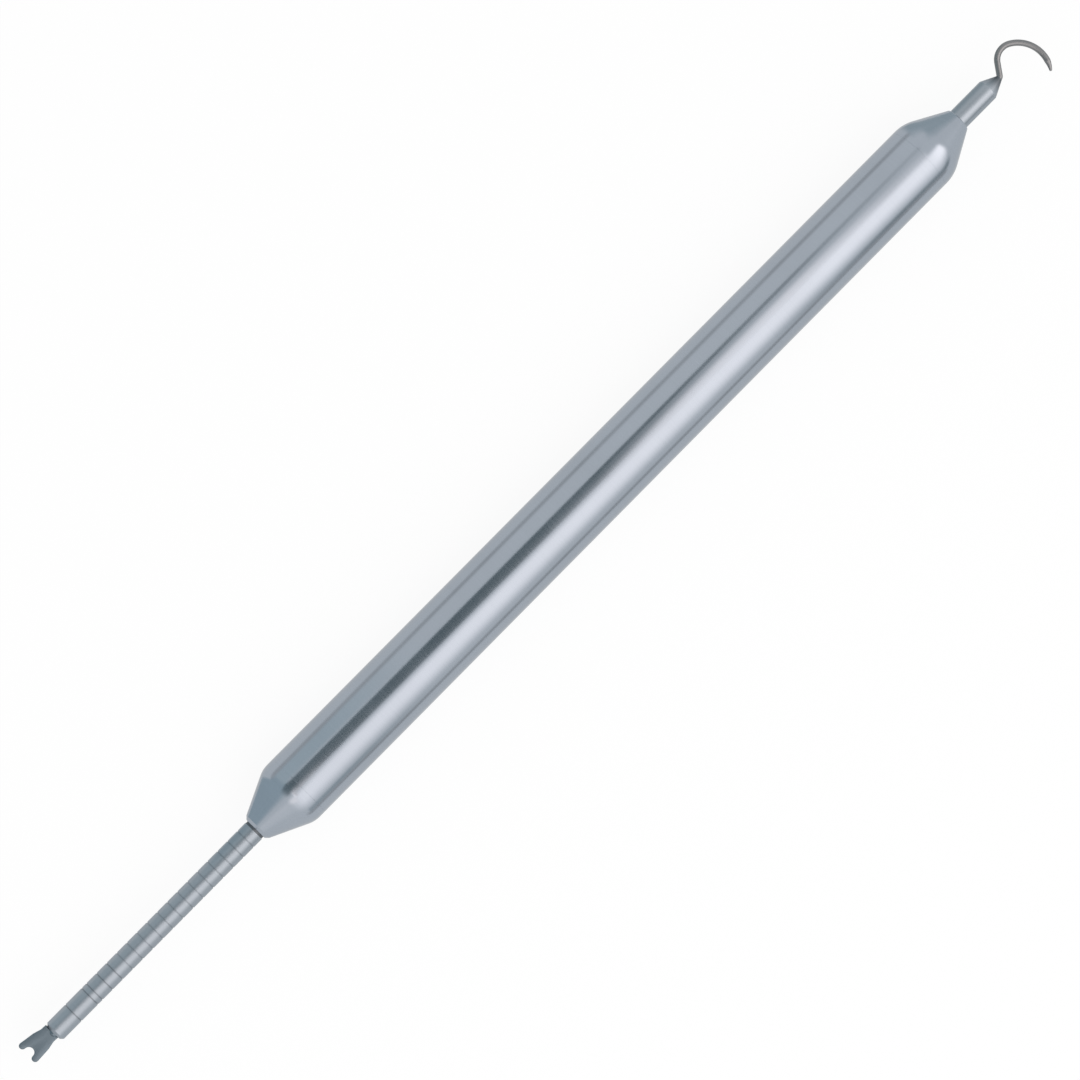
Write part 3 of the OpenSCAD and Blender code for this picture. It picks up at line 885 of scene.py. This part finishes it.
@dataclass
class ForkTip:
    """Notched blade on the end of the stem."""

    axis: Axis
    width: float = 2.7 * MM
    blade_w: float = 2.35 * MM
    thick: float = 0.9 * MM
    neck_w: float = 1.9 * MM
    neck_len: float = 0.7 * MM
    flare_len: float = 0.9 * MM
    notch_w: float = 1.15 * MM
    notch_depth: float = 0.95 * MM
    offset: float = 0.24 * MM
    lean: float = 3.0
    edge_round: float = 0.11 * MM
    root_len: float = 0.4 * MM
    tang_r: float = 0.6 * MM
    tang_len: float = 3.0 * MM
    root_round: float = 0.3 * MM
    tang_break: float = 0.1 * MM
    arc_steps: int = 12

    def outline(self, length: float) -> list[Point2]:
        """Draws the blade from the stem outwards.

        Args:
            length: Length of the blade.

        Returns:
            Points of the closed outline, as distance from the stem and distance across.
        """
        prong_r = (self.width - self.notch_w) / 4.0
        prong_at = length - prong_r
        notch_at = length - self.notch_depth + self.notch_w / 2.0
        side = [
            (0.0, self.neck_w / 2.0),
            (self.neck_len, self.neck_w / 2.0),
            (self.neck_len + self.flare_len, self.blade_w / 2.0),
        ]
        count = self.arc_steps
        for k in range(count + 1):
            angle = math.pi / 2.0 - math.pi * k / count
            side.append((prong_at + prong_r * math.cos(angle), self.width / 2.0 - prong_r + prong_r * math.sin(angle)))
        for k in range(1, count + 1):
            angle = math.pi / 2.0 + math.pi / 2.0 * k / count
            side.append((notch_at + self.notch_w / 2.0 * math.cos(angle), self.notch_w / 2.0 * math.sin(angle)))
        return side + [(along, -across) for along, across in reversed(side[:-1])]

    def blade(self, stem_end: float, length: float) -> Object:
        """Extrudes the outline and rounds its edges.

        Args:
            stem_end: Place of the stem's end.
            length: Length of the blade.

        Returns:
            The blade.
        """
        slope = math.tan(math.radians(self.lean))
        sheet = bmesh.new()
        bottom = self.axis.height - self.thick / 2.0
        rim = [
            sheet.verts.new((stem_end - along, self.offset + along * slope + across, bottom))
            for along, across in self.outline(length)
        ]
        face = sheet.faces.new(rim)
        grown = bmesh.ops.extrude_face_region(sheet, geom=[face])
        lifted = [item for item in grown["geom"] if isinstance(item, bmesh.types.BMVert)]
        bmesh.ops.translate(sheet, verts=lifted, vec=(0.0, 0.0, self.thick))
        flat = [edge for edge in sheet.edges if abs(edge.verts[0].co.z - edge.verts[1].co.z) < MICRON]
        bmesh.ops.bevel(
            sheet, geom=flat, offset=self.edge_round, segments=4, profile=0.5, affect="EDGES", clamp_overlap=True
        )
        mesh = bpy.data.meshes.new("fork_blade")
        sheet.to_mesh(mesh)
        sheet.free()
        finish_mesh(mesh)
        return add_object("fork_blade", mesh)

    def build(self) -> None:
        """Makes the blade with its tang and dresses it."""
        stem_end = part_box("stem")[0].x
        length = stem_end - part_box("fork_tip")[0].x
        piece = self.blade(stem_end, length)
        tang = [
            Corner(stem_end - self.root_len, 0.0),
            Corner(stem_end - self.root_len, self.tang_r, self.root_round),
            Corner(stem_end + self.tang_len, self.tang_r, self.tang_break),
            Corner(stem_end + self.tang_len, 0.0),
        ]
        tool = lathe("fork_tang", tang, self.axis.height, ROD_SIDES, closed=False)
        union = piece.modifiers.new("tang", "BOOLEAN")
        union.operation = "UNION"
        union.object = tool
        apply_modifiers(piece)
        bpy.data.objects.remove(tool)
        seat(piece, Part.STEM, "fork_tip", FORK_STEEL_PAINTED_DARK)


@dataclass
class SpringPack:
    """Measuring spring, and the inner pieces that carry and stop it."""

    axis: Axis
    wire_r: float = 0.25 * MM
    coil_r: float = 2.4 * MM
    working_turns: float = 27.0
    end_turns: float = 1.5
    end_pitch: float = 0.95 * MM
    steps_per_turn: int = 32

    INNER = {
        "fork_guide_bush": BUSH_BRONZE,
        "hook_guide_bush": BUSH_BRONZE,
        "return_buffer": BUFFER_WHITE,
        "spring_washer": WASHER_STEEL,
        "thrust_washer": WASHER_STEEL,
        "calibration_nut": NUT_BRASS,
        "lock_nut": NUT_BRASS,
        "spring_seat": NUT_BRASS,
        "seat_clip": SPRING_STEEL,
        "travel_clip": SPRING_STEEL,
    }

    def recipe(self) -> Recipe:
        """Builds the tree that winds a wire with closely wound ends.

        Returns:
            The finished tree.
        """
        sizes = ["Wire Radius", "Coil Radius", "Working Turns", "End Turns", "End Pitch", "Working Pitch"]
        recipe = Recipe("wound_spring", sizes, ["Steel"])
        maths, node, given = recipe.maths, recipe.out, recipe.given
        total = maths("MULTIPLY_ADD", given["End Turns"], 2.0, given["Working Turns"])
        count = maths("MULTIPLY_ADD", total, self.steps_per_turn, 1.0)
        line = node("MeshLine", {"Count": count})
        turn = maths("DIVIDE", node("InputIndex"), self.steps_per_turn)
        past = maths("SUBTRACT", turn, given["End Turns"])
        working = maths("MINIMUM", maths("MAXIMUM", past, 0.0), given["Working Turns"])
        closed = maths("SUBTRACT", turn, working)
        rise = maths("MULTIPLY_ADD", closed, given["End Pitch"], given["Wire Radius"])
        rise = maths("MULTIPLY_ADD", working, given["Working Pitch"], rise)
        angle = maths("MULTIPLY", turn, 2.0 * math.pi)
        across = maths("MULTIPLY", maths("SINE", angle), given["Coil Radius"])
        drop = maths("MULTIPLY", maths("COSINE", angle), given["Coil Radius"])
        lift = maths("MULTIPLY", drop, -1.0)
        place = node("ShaderNodeCombineXYZ", {"X": rise, "Y": across, "Z": lift})
        line = node("SetPosition", {"Geometry": line, "Position": place})
        curve = node("MeshToCurve", {"Mesh": line})
        wire = recipe.sweep(curve, given["Wire Radius"], SPRING_SIDES)
        recipe.close(recipe.paint(wire, given["Steel"]))
        return recipe

    def spring(self) -> None:
        """Winds the spring to the length of its solid."""
        low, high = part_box("return_spring")
        free = high.x - low.x
        wound = 2.0 * self.end_turns * self.end_pitch + 2.0 * self.wire_r
        pitch = (free - wound) / self.working_turns
        piece = add_object("measuring_spring", bpy.data.meshes.new("measuring_spring"))
        self.recipe().run(
            piece, Wire_Radius=self.wire_r, Coil_Radius=self.coil_r, Working_Turns=self.working_turns,
            End_Turns=self.end_turns, End_Pitch=self.end_pitch, Working_Pitch=pitch, Steel=SPRING_STEEL.material(),
        )
        piece.data.transform(Matrix.Translation((low.x, 0.0, self.axis.height)))
        seat(piece, Part.BARREL, "return_spring")
        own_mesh(piece)

    def build(self) -> None:
        """Winds the spring and gives each inner solid its finish."""
        self.spring()
        for name, finish in self.INNER.items():
            finish.dress(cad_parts[name].data)
            LOG.info("%s: solid dressed in %s", name, finish.name)


def matrix_of(right: Vector, up: Vector, back: Vector, place: Vector) -> Matrix:
    """Returns the matrix with those axes and that place."""
    matrix = Matrix((right, up, back)).transposed().to_4x4()
    matrix.translation = place
    return matrix


@dataclass(frozen=True)
class Fixture:
    """Rectangle at a distance from the instrument's axis, turned in degrees from above towards -Y."""

    name: str
    turn: float
    distance: float
    middle_x: float
    length: float
    height: float
    glow: float

    def matrix(self, axis: Axis) -> Matrix:
        """Finds its place, with its own -Z towards the axis and its X along it.

        Args:
            axis: Shared axis.

        Returns:
            The matrix of that place.
        """
        angle = math.radians(self.turn)
        out = Vector((0.0, -math.sin(angle), math.cos(angle)))
        right = Vector((1.0, 0.0, 0.0))
        up = out.cross(right)
        return matrix_of(right, up, out, Vector((self.middle_x, 0.0, axis.height)) + out * self.distance)


@dataclass(frozen=True)
class Card(Fixture):
    """Studio card that only shows in reflections and fades at its start, end, low and high edge."""

    soft: tuple[float, float, float, float]
    tint: Colour = (1.0, 1.0, 1.0)

    def build(self, axis: Axis) -> None:
        """Stands the card in the studio.

        Args:
            axis: Shared axis.
        """
        material, sketch = new_material(self.name)
        place = sketch.add("TexCoord").outputs["Object"]
        parts = sketch.add("SeparateXYZ", {"Vector": place}).outputs
        (start, end, low, high), x, y = self.soft, self.length / 2.0, self.height / 2.0
        share = 1.0
        for way, edge, width in (("X", -x, start), ("X", x, -end), ("Y", -y, low), ("Y", y, -high)):
            share = sketch.maths("MULTIPLY", share, sketch.ramp(parts[way], (edge, edge + width)))
        clear = sketch.out("BsdfTransparent")
        glow = sketch.out("Emission", {"Color": (*self.tint, 1.0), "Strength": self.glow})
        mixed = sketch.out("MixShader", {0: share, 1: clear, 2: glow})
        sketch.add("OutputMaterial", {"Surface": mixed})
        material.cycles.emission_sampling = "NONE"
        card = plate(self.name, self.length, self.height, material)
        card.matrix_world = self.matrix(axis)
        card.visible_camera = card.visible_diffuse = card.visible_shadow = card.visible_transmission = False


@dataclass(frozen=True)
class Softbox(Fixture):
    """Rectangular lamp that only lights matt surfaces."""

    def build(self, axis: Axis) -> None:
        """Hangs the lamp.

        Args:
            axis: Shared axis.
        """
        lamp = bpy.data.lights.new(self.name, "AREA")
        lamp.shape = "RECTANGLE"
        lamp.size, lamp.size_y = self.length, self.height
        lamp.energy = self.glow * math.pi * self.length * self.height
        holder = add_object(self.name, lamp)
        holder.matrix_world = self.matrix(axis)
        holder.visible_camera = holder.visible_glossy = False


@dataclass(frozen=True)
class PhotoCamera:
    """Camera of the photograph, which looks down, a little from the fork's side."""

    distance: float = 550.0 * MM
    lens: float = 168.95
    tilt: float = 4.7
    roll: float = 45.267
    aim_past_mouth: float = 43.861 * MM
    aim_y: float = 0.14 * MM
    near: float = 10.0 * MM

    def build(self, axis: Axis) -> None:
        """Sets up the camera.

        Args:
            axis: Shared axis.
        """
        tilt, roll = math.radians(self.tilt), math.radians(self.roll)
        back = Vector((-math.sin(tilt), 0.0, math.cos(tilt)))
        ahead = Vector((math.cos(tilt), 0.0, math.sin(tilt)))
        left = Vector((0.0, 1.0, 0.0))
        right = ahead * math.cos(roll) - left * math.sin(roll)
        up = ahead * math.sin(roll) + left * math.cos(roll)
        data = bpy.data.cameras.new("photo_camera")
        data.lens = self.lens
        data.clip_start = self.near
        camera = add_object("photo_camera", data)
        aim = Vector((axis.fork_mouth + self.aim_past_mouth, self.aim_y, axis.height))
        camera.matrix_world = matrix_of(right, up, back, aim + back * self.distance)
        bpy.context.scene.camera = camera


@dataclass
class Studio:
    """Pale floor, white surroundings, soft lamps and reflection cards."""

    axis: Axis
    floor_size: float = 6.0
    floor_white: float = 0.88
    floor_glow: float = 1.03
    floor_tones: Point2 = (0.90, 0.92)
    mottle_scale: float = 40.0
    ambient: float = 0.6

    COOL = (0.76, 0.94, 1.0)
    SLATE = (0.81, 0.94, 1.0)
    PALE = (0.87, 0.97, 1.0)
    WARM = (1.0, 0.92, 0.89)
    CARDS = (
        Card("key_light", 43.0, 0.5, 0.09, 1.82, 0.78, 2.5, (1.4, 0.3, 0.43, 0.228), WARM),
        Card("overhead_gap", -11.0, 0.45, 0.0165, 0.137, 0.306, 0.24, (0.008, 0.03, 0.06, 0.008), COOL),
        Card("narrow_gap", -24.0, 0.45, 0.1, 0.12, 0.1, 0.24, (0.04, 0.09, 0.03, 0.008), COOL),
        Card("overhead_light", 3.0, 0.44, 0.0975, 0.105, 0.26, 2.0, (0.035, 0.05, 0.02, 0.15), WARM),
        Card("stem_light", 6.0, 0.44, -0.113, 0.114, 0.26, 2.1, (0.04, 0.014, 0.06, 0.05), WARM),
        Card("fork_gap", -14.0, 0.46, -0.34, 0.4, 0.3, 0.3, (0.38, 0.02, 0.08, 0.02), COOL),
        Card("turn_light", 10.5, 0.027, -0.0403, 0.0046, 0.009, 1.3, (0.001, 0.0006, 0.003, 0.003), WARM),
        Card("taper_light", -1.0, 0.028, -0.035, 0.011, 0.01, 1.1, (0.001, 0.01, 0.001, 0.01), WARM),
        Card("shoulder_light", 24.0, 0.47, -0.375, 0.53, 0.26, 1.75, (0.32, 0.08, 0.1, 0.1), WARM),
        Card("fork_turn_gap", -11.0, 0.03, -0.0413, 0.0076, 0.022, 0.3, (0.0008, 0.0004, 0.009, 0.001), COOL),
        Card("fork_end_shade", -57.0, 0.06, -0.0275, 0.031, 0.06, 0.84, (0.002, 0.018, 0.012, 0.006), PALE),
        Card("fork_cone_shade", -46.0, 0.5, -0.675, 1.15, 1.04, 0.74, (0.2, 0.06, 0.4, 0.03), SLATE),
        Card("stem_shade", -52.0, 0.53, -0.14, 0.22, 0.95, 0.82, (0.1, 0.01, 0.26, 0.06), PALE),
        Card("fork_side_shade", -95.0, 0.008, -0.0455, 0.01, 0.018, 0.74, (0.003, 0.001, 0.003, 0.001), SLATE),
        Card("fork_right_shade", 82.0, 0.031, -0.029, 0.028, 0.012, 0.64, (0.001, 0.02, 0.006, 0.005), PALE),
        Card("hook_cone_shade", -65.0, 0.4, 1.1, 1.4, 0.9, 0.72, (0.2, 0.3, 0.6, 0.05), PALE),
        Card("hook_side_shade", -95.0, 0.008, 0.0695, 0.017, 0.018, 0.72, (0.002, 0.003, 0.008, 0.001), PALE),
        Card("hook_right_shade", 83.0, 0.031, 0.065, 0.06, 0.013, 0.47, (0.025, 0.02, 0.005, 0.006), PALE),
        Card("left_horizon", -82.0, 0.03, 0.0105, 0.125, 0.012, 0.68, (0.01, 0.006, 0.005, 0.005)),
        Card("right_horizon", 93.0, 0.03, 0.0105, 0.125, 0.01, 0.6, (0.01, 0.006, 0.004, 0.004)),
    )
    LAMPS = (Softbox("key_softbox", 38.0, 0.6, -0.05, 0.9, 0.6, 0.9),)

    @staticmethod
    def background_share(sketch: NodeSketch) -> NodeSocket:
        """Returns 1 for rays that see the background, straight, mirrored or through glass."""
        rays = sketch.add("LightPath").outputs
        seen = sketch.maths("MAXIMUM", rays["Is Camera Ray"], rays["Is Glossy Ray"])
        return sketch.maths("MAXIMUM", seen, rays["Is Transmission Ray"])

    def floor(self) -> None:
        """Lays the pale floor, which shows white and keeps a soft shadow."""
        material, sketch = new_material("pale_floor")
        place = sketch.add("TexCoord").outputs["Object"]
        mottle = sketch.out("TexNoise", {"Vector": place, "Scale": self.mottle_scale, "Detail": 2.0})
        dark, pale = ((tone, tone, tone, 1.0) for tone in self.floor_tones)
        matt = sketch.out("BsdfDiffuse", {"Color": sketch.blend(mottle, dark, pale)})
        white = sketch.out("Emission", {"Color": WHITE, "Strength": self.floor_glow})
        share = sketch.maths("MULTIPLY", self.background_share(sketch), self.floor_white)
        mixed = sketch.out("MixShader", {0: share, 1: matt, 2: white})
        sketch.add("OutputMaterial", {"Surface": mixed})
        plate("floor", self.floor_size, self.floor_size, material)

    def surroundings(self) -> None:
        """Makes the world white to the camera and to mirrors, and a plain light to the floor."""
        world = bpy.data.worlds.new("white_studio")
        world.use_nodes = True
        sketch = NodeSketch(world.node_tree)
        light = sketch.out("Background", {"Color": WHITE, "Strength": self.ambient})
        white = sketch.out("Background", {"Color": WHITE, "Strength": 1.0})
        mixed = sketch.out("MixShader", {0: self.background_share(sketch), 1: light, 2: white})
        sketch.add("OutputWorld", {"Surface": mixed})
        world.cycles.sampling_method = "NONE"
        bpy.context.scene.world = world

    def build(self) -> None:
        """Sets up the studio."""
        bpy.context.scene.view_settings.view_transform = "Standard"
        PhotoCamera().build(self.axis)
        self.floor()
        self.surroundings()
        for item in self.CARDS + self.LAMPS:
            item.build(self.axis)


def main() -> None:
    """Builds the studio and the instrument's sub-assemblies in order."""
    logging.basicConfig(level=logging.INFO, format="%(name)s: %(message)s")
    axis = Axis.read()
    Studio(axis).build()
    Barrel(axis).build()
    Stem(axis).build()
    HookEnd(axis).build()
    ForkTip(axis).build()
    SpringPack(axis).build()


if __name__ == "__main__":
    main()
